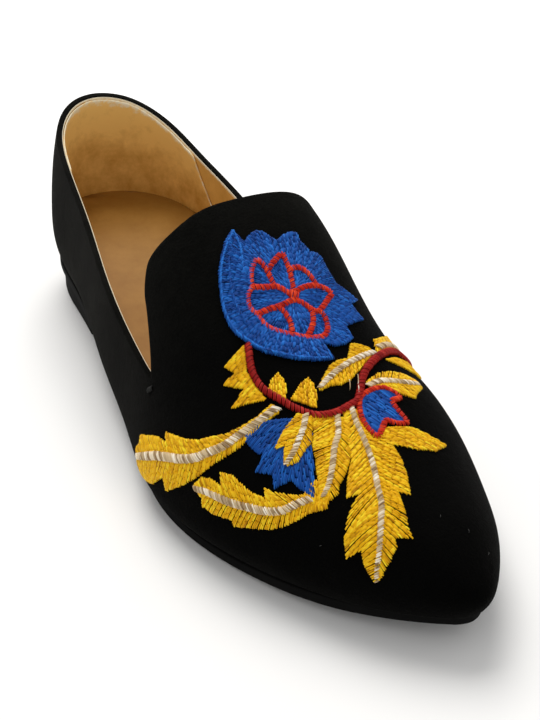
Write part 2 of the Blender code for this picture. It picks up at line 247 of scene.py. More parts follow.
def leather_material(name, dark, light, rim=False):
    """Smooth tan leather with fine grain and soft mottling, paler at its cut edge, and by the rise attribute
    darker lower down as painted shade and paler up to the rim as painted light.
    """
    material, tree, shader = shader_tree(name)
    place = add(tree, "ShaderNodeTexCoord").outputs["Object"]
    mottle = noise(tree, place, 70, 6, 0.7)
    grain = add(tree, "ShaderNodeTexVoronoi", Scale=1500)
    join(tree, place, grain.inputs["Vector"])
    if rim:
        # Painted shade and light: the rise attribute darkens the leather low in the heel cup and lightens it
        # up to the rim.
        rise = add(tree, "ShaderNodeAttribute", attribute_name="rise").outputs["Fac"]
        mottle = weighed(tree, rise, 0.5, mottle)
    colour = ramp(tree, mottle, [(0.3, dark), (0.85 if rim else 0.7, light)])
    if rim:
        edge = add(tree, "ShaderNodeAttribute", attribute_name="edge").outputs["Fac"]
        patches = weighed(tree, noise(tree, place, 420, 4, 0.7), 0.9, edge)
        mixed = add(tree, "ShaderNodeMix", data_type="RGBA")
        join(tree, spread_of(tree, patches, 1.0, 1.3), mixed.inputs["Factor"])
        join(tree, colour, mixed.inputs["A"])
        mixed.inputs["B"].default_value = (0.92, 0.82, 0.60, 1)
        colour = mixed.outputs["Result"]
    join(tree, colour, shader.inputs["Base Color"])
    bump(tree, shader, grain.outputs["Distance"], 0.12, 0.0001)
    finish_of(shader, 0.55, 0.18)
    return material


def thread_material(name, dark, middle, light):
    """Glossy embroidery thread, each stitch a shade of its own."""
    material, tree, shader = shader_tree(name)
    place = add(tree, "ShaderNodeTexCoord").outputs["Object"]
    shade = add(tree, "ShaderNodeAttribute", attribute_name="shade").outputs["Fac"]
    join(tree, ramp(tree, shade, [(0.0, dark), (0.5, middle), (1.0, light)]), shader.inputs["Base Color"])
    bump(tree, shader, noise(tree, place, 4200, 1), 0.35, 0.0001)
    finish_of(shader, 0.5, 0.14)
    return material


def sole_material(name, dark, light):
    """Black sole leather, smooth with faint scuffs."""
    material, tree, shader = shader_tree(name)
    place = add(tree, "ShaderNodeTexCoord").outputs["Object"]
    scuffs = noise(tree, place, 90, 5, 0.65)
    join(tree, ramp(tree, scuffs, [(0.35, dark), (0.75, light)]), shader.inputs["Base Color"])
    bump(tree, shader, noise(tree, place, 900, 3), 0.2, 0.0002)
    finish_of(shader, 0.85, 0.1)
    return material


# The suede reaches its lightest stop only on the quarters towards the heel, where that stop is painted
# light.
black_suede = suede_material("black_suede", (0.0001, 0.0001, 0.0001), (0.0125, 0.0122, 0.0100), 0.014)
tan_lining = leather_material("tan_lining", (0.54, 0.27, 0.045), (0.84, 0.50, 0.13), rim=True)
# The grip runs from its dark stop low in the heel cup, which is painted shade, to its light stop at the rim,
# which is painted light.
tan_grip = leather_material("tan_grip", (0.46, 0.20, 0.016), (1.0, 0.65, 0.20), rim=True)
tan_sock = leather_material("tan_sock", (0.27, 0.125, 0.018), (0.36, 0.18, 0.034))
sole_black = sole_material("sole_black", (0.0010, 0.0010, 0.0009), (0.0030, 0.0028, 0.0025))
flower_blue = thread_material("flower_blue", (0.003, 0.028, 0.16), (0.008, 0.078, 0.36), (0.02, 0.19, 0.66))
royal_blue = thread_material("royal_blue", (0.002, 0.022, 0.13), (0.006, 0.070, 0.33), (0.014, 0.15, 0.55))
flower_red = thread_material("flower_red", (0.38, 0.010, 0.004), (0.62, 0.026, 0.008), (0.86, 0.085, 0.02))
stem_red = thread_material("stem_red", (0.20, 0.004, 0.004), (0.34, 0.010, 0.008), (0.50, 0.03, 0.02))
leaf_gold = thread_material("leaf_gold", (0.48, 0.21, 0.0008), (0.86, 0.47, 0.003), (1.0, 0.80, 0.03))
rib_cream = thread_material("rib_cream", (0.30, 0.19, 0.09), (0.70, 0.54, 0.32), (0.98, 0.90, 0.74))
bar_black = thread_material("bar_black", (0.004, 0.004, 0.004), (0.012, 0.012, 0.011), (0.03, 0.03, 0.028))
lint_grey = thread_material("lint_grey", (0.04, 0.04, 0.04), (0.09, 0.09, 0.085), (0.16, 0.16, 0.15))


# Pieces

def merged(node):
    """Mesh of a CAD node with its doubles merged and its triangles joined."""
    bm = bmesh.new()
    bm.from_mesh(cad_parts[node].data)
    bmesh.ops.remove_doubles(bm, verts=bm.verts[:], dist=0.00002)
    bmesh.ops.join_triangles(bm, faces=bm.faces[:], cmp_seam=False, cmp_sharp=False, cmp_uvs=False,
                             cmp_vcols=False, cmp_materials=False,
                             angle_face_threshold=math.radians(35), angle_shape_threshold=math.radians(60))
    return bm


def crease_folds(bm, amount):
    """Crease on every sharp edge, so that a subdivision keeps it as a tight fold."""
    crease = bm.edges.layers.float.get("crease_edge") or bm.edges.layers.float.new("crease_edge")
    for edge in bm.edges:
        if edge.is_manifold and edge.calc_face_angle() > SHARP:
            edge[crease] = amount


def regions(bm):
    """Groups of faces that no sharp edge divides, the largest area first."""
    left = set(bm.faces)
    groups = []
    while left:
        seed = left.pop()
        group, front = [seed], [seed]
        while front:
            face = front.pop()
            for edge in face.edges:
                if not edge.is_manifold or edge.calc_face_angle() > SHARP:
                    continue
                for other in edge.link_faces:
                    if other in left:
                        left.remove(other)
                        group.append(other)
                        front.append(other)
        groups.append(group)
    groups.sort(key=lambda faces: -sum(face.calc_area() for face in faces))
    return groups


def piece(name, bm, material, levels=0, wall=0.0):
    """Object from a mesh, riding on the shoe's one body."""
    data = bpy.data.meshes.new(name)
    bm.to_mesh(data)
    bm.free()
    data.materials.append(material)
    data.shade_smooth()
    made = bpy.data.objects.new(name, data)
    bpy.context.scene.collection.objects.link(made)
    if wall:
        solid = made.modifiers.new("wall", "SOLIDIFY")
        solid.thickness = wall
        solid.offset = 1
    if levels:
        rounding = made.modifiers.new("rounding", "SUBSURF")
        rounding.levels = rounding.render_levels = levels
    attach(made, "root")
    return made


def tree_of(made):
    """Search tree over a piece as it is rendered."""
    bpy.context.view_layer.update()
    return BVHTree.FromObject(made, bpy.context.evaluated_depsgraph_get())


def make_suede():
    """Outside of the upper with its folded rim, rounded from the hollow solid."""
    bm = merged("upper")
    crease_folds(bm, FOLD_CREASE)
    suede = piece("suede_upper", bm, black_suede, levels=2)
    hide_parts("upper")
    return suede


def make_lining():
    """Leather lining over the upper's inner face, cut just under the fold and tucked in by the sock."""
    bm = merged("upper")
    inner = set(regions(bm)[1])
    bmesh.ops.delete(bm, geom=[face for face in bm.faces if face not in inner], context="FACES")
    edge_weight = bm.verts.layers.float.new("edge")
    rise = bm.verts.layers.float.new("rise")
    bm.normal_update()
    moves = []
    for vert in bm.verts:
        vert[rise] = 0.5
        moves.append((vert, vert.normal * LINING_GAP))
        if vert.is_boundary:
            inside = [edge.other_vert(vert) for edge in vert.link_edges if not edge.is_boundary]
            if inside and vert.co.z > RIM_LOWEST:
                vert[edge_weight] = 1.0
                moves.append((vert, (inside[0].co - vert.co).normalized() * LINING_DROP))
            elif inside:
                moves.append((vert, (vert.co - inside[0].co).normalized() * LINING_TUCK))
    for vert, move in moves:
        vert.co += move
    return piece("leather_lining", bm, tan_lining, levels=2, wall=LINING_THICKNESS)


def make_grip(lining):
    """Heel grip: a second leather round the inside of the heel, its front edges cut on a curve."""
    tree = tree_of(lining)
    bm = bmesh.new()
    bmesh.ops.create_grid(bm, x_segments=56, y_segments=14, size=1)
    edge_weight = bm.verts.layers.float.new("edge")
    rise = bm.verts.layers.float.new("rise")

    def wall_at(turn, height):
        way = Vector((math.cos(turn), math.sin(turn), 0))
        hit = tree.ray_cast(GRIP_AXIS + Vector((0, 0, height)), way, GRIP_REACH)[0]
        return hit, way

    def rim_at(turn):
        height, highest = RIM_SEARCH
        while wall_at(turn, height)[0] and height < highest:
            height += RIM_STEP
        return height - RIM_MARGIN

    for vert in bm.verts:
        up = (vert.co.y + 1) / 2
        front = math.radians(GRIP_FRONT_TOP - GRIP_FRONT_SWEEP * (1 - up) ** 1.15)
        turn = math.pi / 2 - vert.co.x * (math.pi / 2 - front)
        height = GRIP_FOOT + (rim_at(turn) - GRIP_FOOT) * up
        hit, way = wall_at(turn, height)
        vert[edge_weight] = 0.8 * up ** 6
        # Painted shade and light: rise grows up the grip, so the grip is darker low in the heel cup and
        # paler at the rim.
        vert[rise] = up ** 1.5
        if abs(vert.co.x) > 0.999:
            vert[edge_weight] = 0.7
        vert.co = (hit or GRIP_AXIS + way * 0.03) - way * GRIP_GAP
    bmesh.ops.recalc_face_normals(bm, faces=bm.faces[:])
    middle = min(bm.faces, key=lambda face: abs(face.calc_center_median().x))
    if middle.normal.y > 0:
        bmesh.ops.reverse_faces(bm, faces=bm.faces[:])
    return piece("heel_grip", bm, tan_grip, levels=1, wall=GRIP_THICKNESS)


def make_sock():
    """Sock leather over the insole and its wedge."""
    bm = merged("insole")
    crease_folds(bm, SOCK_CREASE)
    sock = piece("sock", bm, tan_sock, levels=2)
    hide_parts("insole")
    return sock


def make_sole(node, name, tuck=0.0):
    """Sole piece with its outline rounded, its toe drawn back by a length and narrowed with it."""
    bm = merged(node)
    for vert in bm.verts:
        share = min(max((HEEL_BACK - vert.co.y - TUCK_START) / TUCK_LENGTH, 0.0), 1.0) ** 1.5
        vert.co.y += tuck * share
        vert.co.x -= (vert.co.x - TOE_MIDDLE) * share * tuck * TUCK_NARROWING
    crease_folds(bm, SOLE_CREASE)
    made = piece(name, bm, sole_black, levels=2)
    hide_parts(node)
    return made


suede = make_suede()
lining = make_lining()
make_grip(lining)
make_sock()
make_sole("outsole", "sole_leather", TOE_TUCK)
make_sole("heel", "heel_block")


# Embroidery

# Middle line of the vamp that across is measured from: (station, x), mm
RIDGE_LINE = [(114, 4.3), (135, 4.7), (165, 1.8), (195, 2.7), (225, 4.2), (245, 5.6), (260, 7.1)]
AXIS_HEIGHT = 10.0
OUTSIDE_REACH = 0.15
CHART_STEP = 0.5
CHART_STATIONS = np.arange(128.0, 257.0, 1.0)
CHART_TURNS = np.radians(np.arange(-104.0, 104.1, 2.0))
CHART_ACROSS = np.arange(-96.0, 96.1, CHART_STEP)


def chart_vamp():
    """Grids of places and outward normals over the vamp, by station and by distance across."""
    tree = tree_of(suede)
    rows = []
    for station in CHART_STATIONS:
        x = float(np.interp(station, *zip(*RIDGE_LINE)))
        axis = Vector((x * MM, HEEL_BACK - station * MM, AXIS_HEIGHT * MM))
        found = []
        for turn in CHART_TURNS:
            way = Vector((math.sin(turn), 0, math.cos(turn)))
            found.append(tree.ray_cast(axis + way * OUTSIDE_REACH, -way, OUTSIDE_REACH)[0])
        middle = len(found) // 2
        for order in (range(middle, -1, -1), range(middle, len(found))):
            last = None
            for i in order:
                found[i] = last = found[i] or last
        found = np.array([tuple(hit) for hit in found])
        arcs = np.concatenate([[0], np.cumsum(np.linalg.norm(np.diff(found, axis=0), axis=1))]) / MM
        arcs -= arcs[middle]
        rows.append(np.stack([np.interp(CHART_ACROSS, arcs, found[:, k]) for k in range(3)], axis=1))
    places = np.array(rows)
    normals = np.cross(np.gradient(places, axis=0), np.gradient(places, axis=1))
    lengths = np.linalg.norm(normals, axis=2, keepdims=True)
    return places, normals / np.maximum(lengths, 1e-12)


PLACES, NORMALS = chart_vamp()


def on_vamp(across, station, lift):
    """Places over the vamp at heights above the suede, all in millimetres."""
    s = np.clip((np.asarray(station) - CHART_STATIONS[0]), 0, len(CHART_STATIONS) - 1.001)
    a = np.clip((np.asarray(across) - CHART_ACROSS[0]) / CHART_STEP, 0, len(CHART_ACROSS) - 1.001)
    i, j = s.astype(int), a.astype(int)
    u, v = (s - i)[:, None], (a - j)[:, None]

    def read(grid):
        return (grid[i, j] * (1 - u) * (1 - v) + grid[i + 1, j] * u * (1 - v)
                + grid[i, j + 1] * (1 - u) * v + grid[i + 1, j + 1] * u * v)

    return read(PLACES) + read(NORMALS) * (np.asarray(lift) * MM)[:, None]


class Threads:
    """Stitches of one thread colour, collected and then made one piece."""

    def __init__(self, name, material, spread):
        self.name, self.material, self.spread = name, material, spread
        self.runs = []

    def stitch(self, start, end, lift, arch, radius=THREAD, lighter=0.0):
        """One stitch from start to end, its ends in the suede."""
        start, end = np.array(start), np.array(end)
        spots = start + (end - start) * STITCH_WAYS[:, None]
        heights = lift + radius * 0.5 + arch * (4 * STITCH_WAYS * (1 - STITCH_WAYS)) ** 0.6
        heights[[0, -1]] = lift * 0.6 - 0.1
        radii = STITCH_SWELL * radius
        shade = min(max(rng.gauss(0.5 + lighter, self.spread), 0.0), 1.0)
        self.runs.append((on_vamp(spots[:, 0], spots[:, 1], heights), radii * MM, shade))

    def build(self):
        """Tubes for all stitches, as one mesh."""
        curve = bpy.data.curves.new("holder", "CURVE")
        curve.dimensions = "3D"
        curve.bevel_depth = 1.0
        curve.bevel_resolution = 1
        curve.use_fill_caps = True
        for points, radii, _ in self.runs:
            spline = curve.splines.new("POLY")
            spline.points.add(len(points) - 1)
            spline.points.foreach_set("co", np.hstack([points, np.ones((len(points), 1))]).ravel())
            spline.points.foreach_set("radius", radii)
        holder = bpy.data.objects.new("holder", curve)
        bpy.context.scene.collection.objects.link(holder)
        bpy.context.view_layer.update()
        data = bpy.data.meshes.new_from_object(holder.evaluated_get(bpy.context.evaluated_depsgraph_get()))
        bpy.data.objects.remove(holder)
        bpy.data.curves.remove(curve)
        each = len(data.vertices) // len(self.runs)
        shades = np.repeat([shade for _, _, shade in self.runs], each)
        data.attributes.new("shade", "FLOAT", "POINT").data.foreach_set("value", shades)
        bm = bmesh.new()
        bm.from_mesh(data)
        bpy.data.meshes.remove(data)
        bmesh.ops.remove_doubles(bm, verts=bm.verts[:], dist=0.000001)
        bmesh.ops.recalc_face_normals(bm, faces=bm.faces[:])
        return piece(self.name, bm, self.material)


def smooth_line(points, step=0.25):
    """Fine line through points, rounded between them, at even steps."""
    points = np.array(points, float)
    padded = np.vstack([2 * points[0] - points[1], points, 2 * points[-1] - points[-2]])
    fine = []
    for i in range(1, len(padded) - 2):
        before, start, end, after = padded[i - 1:i + 3]
        for way in np.linspace(0, 1, 16, endpoint=False):
            fine.append(0.5 * (2 * start + (end - before) * way
                               + (2 * before - 5 * start + 4 * end - after) * way ** 2
                               + (3 * start - before - 3 * end + after) * way ** 3))
    fine = np.array(fine + [points[-1]])
    lengths = np.concatenate([[0], np.cumsum(np.linalg.norm(np.diff(fine, axis=0), axis=1))])
    marks = np.linspace(0, lengths[-1], max(int(lengths[-1] / step), 2) + 1)
    return np.stack([np.interp(marks, lengths, fine[:, k]) for k in range(2)], axis=1), lengths[-1]


def sideways(line):
    """Unit tangents and unit normals along a fine line."""
    run = np.gradient(line, axis=0)
    run /= np.linalg.norm(run, axis=1, keepdims=True)
    return run, np.stack([-run[:, 1], run[:, 0]], axis=1)


def spans(outline, origin, way):
    """Stretches of a straight line that lie inside an outline, as pairs of distances."""
    start = np.array(outline, float)
    end = np.roll(start, -1, axis=0)
    side = np.array([-way[1], way[0]])
    a, b = (start - origin) @ side, (end - origin) @ side
    cross = (a > 0) != (b > 0)
    share = a[cross] / (a[cross] - b[cross])
    hits = np.sort((start[cross] + (end[cross] - start[cross]) * share[:, None] - origin) @ way)
    return list(zip(hits[::2], hits[1::2]))


def lay(threads, origin, way, low, high, lift, arch, longest=STITCH):
    """Stitches one behind the other along a straight stretch, broken at uneven places."""
    if high - low < SHORTEST_STITCH:
        return
    marks = [low + rng.uniform(-0.15, 0.15)]
    if high - low > longest * 1.4:
        mark = low + longest * rng.uniform(0.35, 1.0)
        while mark < high - longest * 0.35:
            marks.append(mark)
            mark += longest * rng.uniform(0.8, 1.2)
    marks.append(high + rng.uniform(-0.15, 0.15))
    for start, end in zip(marks, marks[1:]):
        threads.stitch(origin + way * start, origin + way * end, lift, arch)


def fill(threads, outline, turn, lift=0.05, arch=0.2, longest=STITCH):
    """Rows of stitches over an outline, all in one direction, turn degrees from across."""
    way = np.array([math.cos(math.radians(turn)), math.sin(math.radians(turn))])
    side = np.array([-way[1], way[0]])
    reach = np.array(outline, float) @ side
    for offset in np.arange(reach.min() + PITCH / 2, reach.max(), PITCH):
        offset += rng.uniform(-0.1, 0.1) * PITCH
        for low, high in spans(outline, side * offset, way):
            lay(threads, side * offset, way, low, high, lift, arch, longest)


def column(threads, points, width, lift, arch, slant, taper=(1.0, 1.0), lighter=0.0):
    """Satin column: stitches laid side by side across a line, slanted, its ends narrowed."""
    line, length = smooth_line(points)
    run, side = sideways(line)
    way_across = math.radians(slant)
    for mark in np.arange(0, length, SATIN_PITCH):
        i = min(int(round(mark / length * (len(line) - 1))), len(line) - 1)
        share = mark / length
        wide = width * np.interp(share, [0, 0.25, 0.75, 1], [taper[0], 1, 1, taper[1]])
        way = side[i] * math.cos(way_across) + run[i] * math.sin(way_across)
        reach = way * wide / 2 * rng.uniform(0.93, 1.07)
        threads.stitch(line[i] - reach, line[i] + reach, lift, arch * wide / width, SATIN_THREAD, lighter)


def leaf(rib, sides, gold, cream, rib_width=2.1, lift=0.05):
    """Feather leaf: rows from the rib out to each notched side, and a satin rib on top.

    A side is (sign, rows of (way along the rib, reach from it)).
    """
    line, length = smooth_line(rib)
    run, side = sideways(line)
    for sign, edge in sides:
        outline = []
        for way, reach in edge:
            i = min(max(int(round(way * (len(line) - 1))), 0), len(line) - 1)
            over = way - min(max(way, 0.0), 1.0)
            outline.append(line[i] + run[i] * over * length + side[i] * sign * reach)
        half = np.vstack([line, outline[::-1]])
        for mark in np.arange(-0.5 * length, length, PITCH / math.sin(LEAF_LEAN)):
            mark += rng.uniform(-0.1, 0.1) * PITCH
            i = min(max(int(round(mark / length * (len(line) - 1))), 0), len(line) - 1)
            origin = line[i] + run[i] * min(mark, 0)
            way = run[i] * math.cos(LEAF_LEAN) + side[i] * sign * math.sin(LEAF_LEAN)
            for low, high in spans(half, origin, way):
                if high > SHORTEST_ROW:
                    lay(gold, origin, way, max(low, 0.0), high, lift, 0.2)
    column(cream, rib, rib_width, lift + 0.3, 0.35, 38, (1.0, 0.7))


gold = Threads("gold_leaves", leaf_gold, 0.2)
gold_lateral = Threads("gold_lateral_leaves", leaf_gold, 0.2)
gold_medial = Threads("gold_medial_leaf", leaf_gold, 0.2)
cream = Threads("cream_ribs", rib_cream, 0.32)
blue = Threads("blue_flower", flower_blue, 0.24)
royal = Threads("royal_petals", royal_blue, 0.22)
red = Threads("red_outlines", flower_red, 0.24)
stem = Threads("red_stem", stem_red, 0.24)
bars = Threads("notch_bars", bar_black, 0.2)
lint = Threads("lint", lint_grey, 0.2)

# Feather leaves: rib, then each side as (way along the rib, reach), mm
leaf(  # long leaf towards the toe
    [(0, 198), (-1.5, 202.5), (-2.5, 207), (-4, 212.5), (-6, 218), (-8.5, 223.5), (-10.5, 228),
     (-13.5, 232), (-16, 235), (-19, 238), (-22, 240), (-24.5, 241.5)],
    [(-1, [(0.0, 1.0), (0.20, 4.8), (0.26, 8.0), (0.35, 8.8), (0.43, 9.0), (0.58, 8.5), (0.56, 5.4),
           (0.66, 6.5), (0.74, 7.3), (0.78, 8.5), (0.79, 3.8), (0.83, 4.6), (0.88, 3.5), (0.95, 1.8),
           (1.0, 0.0)]),
     (1, [(0.0, 2.6), (0.06, 3.1), (0.34, 5.6), (0.46, 7.8), (0.56, 9.0), (0.55, 5.3), (0.64, 8.0),
          (0.74, 9.4), (0.83, 9.9), (0.96, 8.8), (0.89, 5.0), (0.96, 3.4), (1.0, 0.8)])], gold, cream)
leaf(  # second leaf beside it
    [(-5.5, 199), (-8.5, 204), (-12, 207.5), (-16, 212.5), (-19.5, 216), (-23, 218)],
    [(1, [(0.0, 7.4), (0.08, 7.6), (0.31, 6.8), (0.43, 6.2), (0.6, 4.9), (0.85, 3.2), (1.03, 1.0)]),
     (-1, [(0.0, 3.6), (0.55, 4.6), (0.68, 4.0), (0.83, 3.0), (0.89, 3.4), (0.98, 2.4),
           (1.05, 0.3)])], gold, cream)
leaf(  # small leaf over the royal petals
    [(-14, 195.5), (-16.5, 198.5), (-19.5, 201), (-23, 203.5), (-26.5, 205)],
    [(1, [(0.0, 2.4), (0.07, 2.9), (0.41, 5.0), (0.89, 5.2), (0.73, 3.1), (0.91, 2.0), (1.06, 0.0)]),
     (-1, [(0.0, 1.6), (0.07, 2.1), (0.48, 3.7), (0.59, 2.9), (0.84, 2.5),
           (1.04, 0.2)])], gold, cream, 2.2, lift=0.75)
leaf(  # long leaf down the lateral side
    [(-20, 189.5), (-25, 190), (-29.5, 190), (-34, 189.5), (-39, 188.5), (-44, 186), (-49, 183),
     (-54, 178.5), (-59, 173), (-66, 166), (-79, 155.5)],
    [(1, [(0.0, 1.9), (0.09, 1.5), (0.16, 1.9), (0.23, 2.6), (0.31, 3.6), (0.40, 4.2), (0.50, 5.0),
          (0.57, 5.7), (0.64, 6.2), (0.64, 3.7), (0.71, 4.9), (0.92, 5.1), (0.94, 3.3), (1.04, 1.6)]),
     (-1, [(0.0, 1.6), (0.20, 3.0), (0.26, 2.8), (0.34, 3.4), (0.42, 4.7), (0.51, 6.4), (0.66, 8.8),
           (0.67, 5.2), (0.80, 7.0), (0.99, 4.5), (1.04, 0.7)])], gold_lateral, cream, 3.0)
leaf(  # lower lateral leaf
    [(-26, 216), (-30, 214.5), (-34, 213), (-38, 210), (-42, 205.5), (-46, 200.5), (-49, 196), (-51.5, 192),
     (-55, 187.5)],
    [(1, [(0.02, 1.2), (0.12, 2.8), (0.23, 4.2), (0.36, 5.3), (0.35, 2.9), (0.47, 3.7), (0.55, 5.1),
          (0.64, 6.6), (0.76, 6.1), (0.73, 2.9), (0.83, 3.6), (0.92, 3.2), (1.0, 0.9)]),
     (-1, [(-0.12, 2.6), (-0.05, 2.7), (0.03, 3.3), (0.13, 3.6), (0.23, 3.8), (0.35, 4.3),
           (0.48, 4.8), (0.62, 5.6), (0.63, 4.3), (0.80, 4.8), (0.93, 3.9), (0.92, 2.1),
           (1.0, 0.1)])], gold_lateral, cream, 2.5)
leaf(  # medial leaf that meets the flower
    [(19.5, 181), (13, 182.5), (7, 184), (1, 186), (-5.5, 189)],
    [(1, [(0.0, 1.6), (0.08, 3.5), (0.20, 5.0), (0.26, 4.1), (0.40, 1.4), (0.51, 2.4), (0.65, 2.6),
          (0.83, 1.5), (1.0, 0.2)]),
     (-1, [(0.0, 0.3), (0.27, 2.5), (0.40, 3.5), (0.60, 4.5), (0.76, 3.8), (0.87, 1.9),
           (1.04, 0.4)])], gold, cream, 2.2)
leaf(  # second medial leaf
    [(9.5, 192.5), (14, 191.7), (18, 192), (23, 192.6), (30, 192)],
    [(-1, [(0.0, 1.2), (0.09, 1.8), (0.29, 3.1), (0.49, 4.0), (0.79, 3.8), (1.0, 2.2), (1.12, 0.5)]),
     (1, [(0.0, 0.8), (0.31, 2.5), (0.47, 4.5), (0.57, 5.6), (0.67, 6.0), (0.79, 3.8),
          (1.05, 1.3)])], gold, cream, 2.2)

leaf(  # long leaf down the medial side
    [(23, 178.8), (28, 176.6), (33, 174.6), (40, 171.8), (48, 168.5), (56, 164.5), (64, 160), (71, 155.5),
     (77, 151.5)],
    [(-1, [(0.0, 0.6), (0.08, 2.6), (0.20, 3.2), (0.34, 4.6), (0.46, 6.2), (0.52, 6.6), (0.50, 4.0),
           (0.62, 5.6), (0.74, 6.8), (0.80, 6.6), (0.78, 4.0), (0.90, 4.8), (1.0, 3.6), (1.0, 1.5),
           (1.04, 0.4)]),
     (1, [(0.0, 0.8), (0.12, 2.2), (0.20, 4.5), (0.30, 8.5), (0.42, 10.8), (0.52, 11.0), (0.48, 7.0),
          (0.60, 8.2), (0.72, 9.0), (0.70, 5.5), (0.82, 6.5), (0.93, 7.0), (0.92, 3.4), (1.0, 2.4),
          (1.04, 0.4)])],
    gold_medial, cream, 2.4)

# Plain leaves: outline, then the direction of the stitches
PLAIN_LEAVES = [
    ([(-19, 168.5), (-27.5, 170.5), (-25.5, 174), (-30.5, 174.5), (-25.5, 179.5), (-31.5, 182), (-21, 186),
      (-22, 181), (-22, 175.5), (-20, 171)], 165),
    ([(-19.5, 183.5), (-17, 181), (-14, 180), (-13.5, 183), (-14.5, 186), (-16.5, 188.5)], 115),
    ([(-15, 189), (-12, 187), (-9.5, 185.5), (-6.5, 184.5), (-6, 187), (-7, 190.5), (-9.5, 194.5)], 115),
    ([(6, 207), (13, 208.7), (15, 210), (19, 213.5), (22, 216), (15.5, 218), (10, 216.5), (6, 214),
      (4, 213), (2, 209)], 50),
    ([(20.5, 181), (23.5, 175.5), (32, 172.5), (37, 173), (36, 177), (28, 180)], 130),
    ([(22, 183.5), (28.5, 181.5), (36, 180), (42, 183), (38, 186), (29.5, 185.5)], 60),
    ([(-27, 214), (-22, 212.5), (-19.5, 217), (-23.5, 221), (-28.5, 218.5)], 120),
]
for outline, turn in PLAIN_LEAVES:
    fill(gold, outline, turn)

# Royal petals under the small leaf
ROYAL_PETALS = [
    ([(-16, 195), (-21.5, 192.5), (-25.5, 190.5), (-29, 190), (-33, 190), (-32.5, 193.5), (-31.5, 197.5),
      (-27, 199.5), (-21, 200)], 168, 0.0),
    ([(-20, 199), (-28, 197), (-31.5, 199), (-35, 200.5), (-31, 204.5), (-26, 205)], 160, 0.05),
    ([(-19, 200), (-27, 200.5), (-31, 204.5), (-33, 207.5), (-27.5, 209), (-21, 207)], 140, 0.1),
    ([(-15, 201), (-17.5, 204), (-20, 209.5), (-25, 217), (-27, 212), (-27.5, 209), (-23, 203)], 115, 0.15),
]
for outline, turn, lift in ROYAL_PETALS:
    fill(royal, outline, turn, lift, 0.25, LONG_STITCH)

# Flower: outline, ring round its inner petals, and the lines of these
FLOWER = [
    (-9.5, 137), (-8.8, 140), (-8.0, 142.3), (-5.3, 140.2), (-2.2, 139.2), (0, 139.9), (1.6, 141.5),
    (3.6, 143.5), (6.6, 142), (9.8, 141.5), (11.5, 142.2), (11.4, 144.5), (13, 146.6), (13.6, 147.8),
    (16.4, 148), (17.8, 149.4), (18.2, 152), (19.4, 156), (20.2, 157.6), (25.2, 159.6), (27.6, 160.6),
    (22.8, 163), (25, 168), (19.7, 170), (15, 171.5), (15, 176), (11, 177.5), (7.2, 177.5),
    (4, 175.8), (4.8, 181.4), (2.4, 181.4), (-1.6, 180.5), (-6.4, 178.6), (-10.5, 176.3),
    (-14.2, 173.5), (-16.5, 171), (-18, 168.2), (-19.8, 165), (-21, 161.5), (-21.3, 157.6),
    (-20.6, 153.8), (-19.5, 150), (-18.6, 147.4), (-16.5, 144), (-13.6, 140.2)]
RING = [
    (-10, 154.5), (-9.3, 152), (-8, 149.7), (-5.7, 147.7), (-4, 149.4), (-3, 151.2), (-0.4, 149.5),
    (3.4, 147.8), (4.4, 152.4), (7.3, 152.4), (9.3, 153.8), (11, 158), (15.6, 160.6), (13.2, 162.8),
    (9.5, 165.5), (9.2, 167.4), (8.9, 169.7), (7.7, 172.2), (5.5, 173.7), (0.5, 173.2), (-5.2, 170.3),
    (-9.6, 167), (-11.5, 162.5), (-13, 158.8), (-12, 156.3)]
INNER_LINES = [
    [(-10, 154.6), (-9.3, 152), (-8, 149.7), (-5.7, 147.7), (-4.1, 149.4), (-3.4, 152), (-3, 156.3)],
    [(-2.8, 151.2), (-0.4, 149.5), (3.4, 147.8), (3.9, 150.5), (3.8, 153.3), (3.3, 156.4), (2.6, 159.4)],
    [(4.4, 152.4), (7.3, 152.4), (9.3, 153.8), (10.6, 156), (11.2, 158.3)],
    [(2.7, 159.4), (5.5, 158.5), (8.5, 158.2), (11.8, 158.5), (15.6, 160.6), (13.2, 162.8),
     (10.2, 165), (7.7, 166), (6, 164.7), (4.4, 163), (2.6, 161.6), (1, 161.3), (-1.6, 161.7),
     (-4.1, 162), (-7.3, 162), (-11.7, 162.2)],
    [(-10, 154.6), (-7.2, 155.5), (-4.6, 156), (-2.1, 156.5), (-0.4, 157.8), (1.2, 159.6)],
    [(-10, 154.6), (-12.1, 156.3), (-13, 158.8), (-12.6, 160.8), (-11.5, 162.4), (-10.9, 164.6),
     (-9.6, 167), (-7.5, 168.8), (-5.2, 170.3), (-2.4, 171.7), (0.5, 173.2), (3.4, 173.7),
     (5.5, 173.7), (7.7, 172.2), (8.9, 169.7), (9.2, 167.4), (8.4, 165.8)],
    [(-3.9, 162.2), (-2.8, 164.3), (-2.5, 166.8), (-3, 168.8), (-3.9, 170.7)],
    [(6, 164.7), (5.6, 167), (4.3, 169.2), (2, 171.4), (0.3, 172.7)],
]
PETAL_RIMS = [
    [(-9.6, 138), (-13.0, 141), (-15.9, 144.5), (-17.9, 147.8), (-18.9, 150.3), (-20, 154), (-20.6, 157.6),
     (-20.3, 161.3), (-19.2, 164.7), (-17.4, 167.8), (-15.9, 170.5), (-13.8, 172.8), (-10.2, 175.5),
     (-6.2, 177.8), (-1.4, 179.7), (2.2, 180.6)],
    [(-9.6, 138), (-9.3, 141), (-9.4, 144), (-10.4, 147.5), (-11, 150.5)],
    [(-14.0, 145), (-15.4, 149), (-16.6, 154), (-16.6, 159), (-15.4, 163.5)],
]
HEART = np.array([2.4, 160.0])

# Extra height of each outer petal: end of its arc round the heart in degrees, height in mm
PETAL_STEPS = [(8.4, 0.25), (42.4, 0.10), (84.2, 0.30), (239.6, 0.50), (274.2, 0.12), (312.6, 0.32),
               (352.3, 0.08), (360.0, 0.25)]


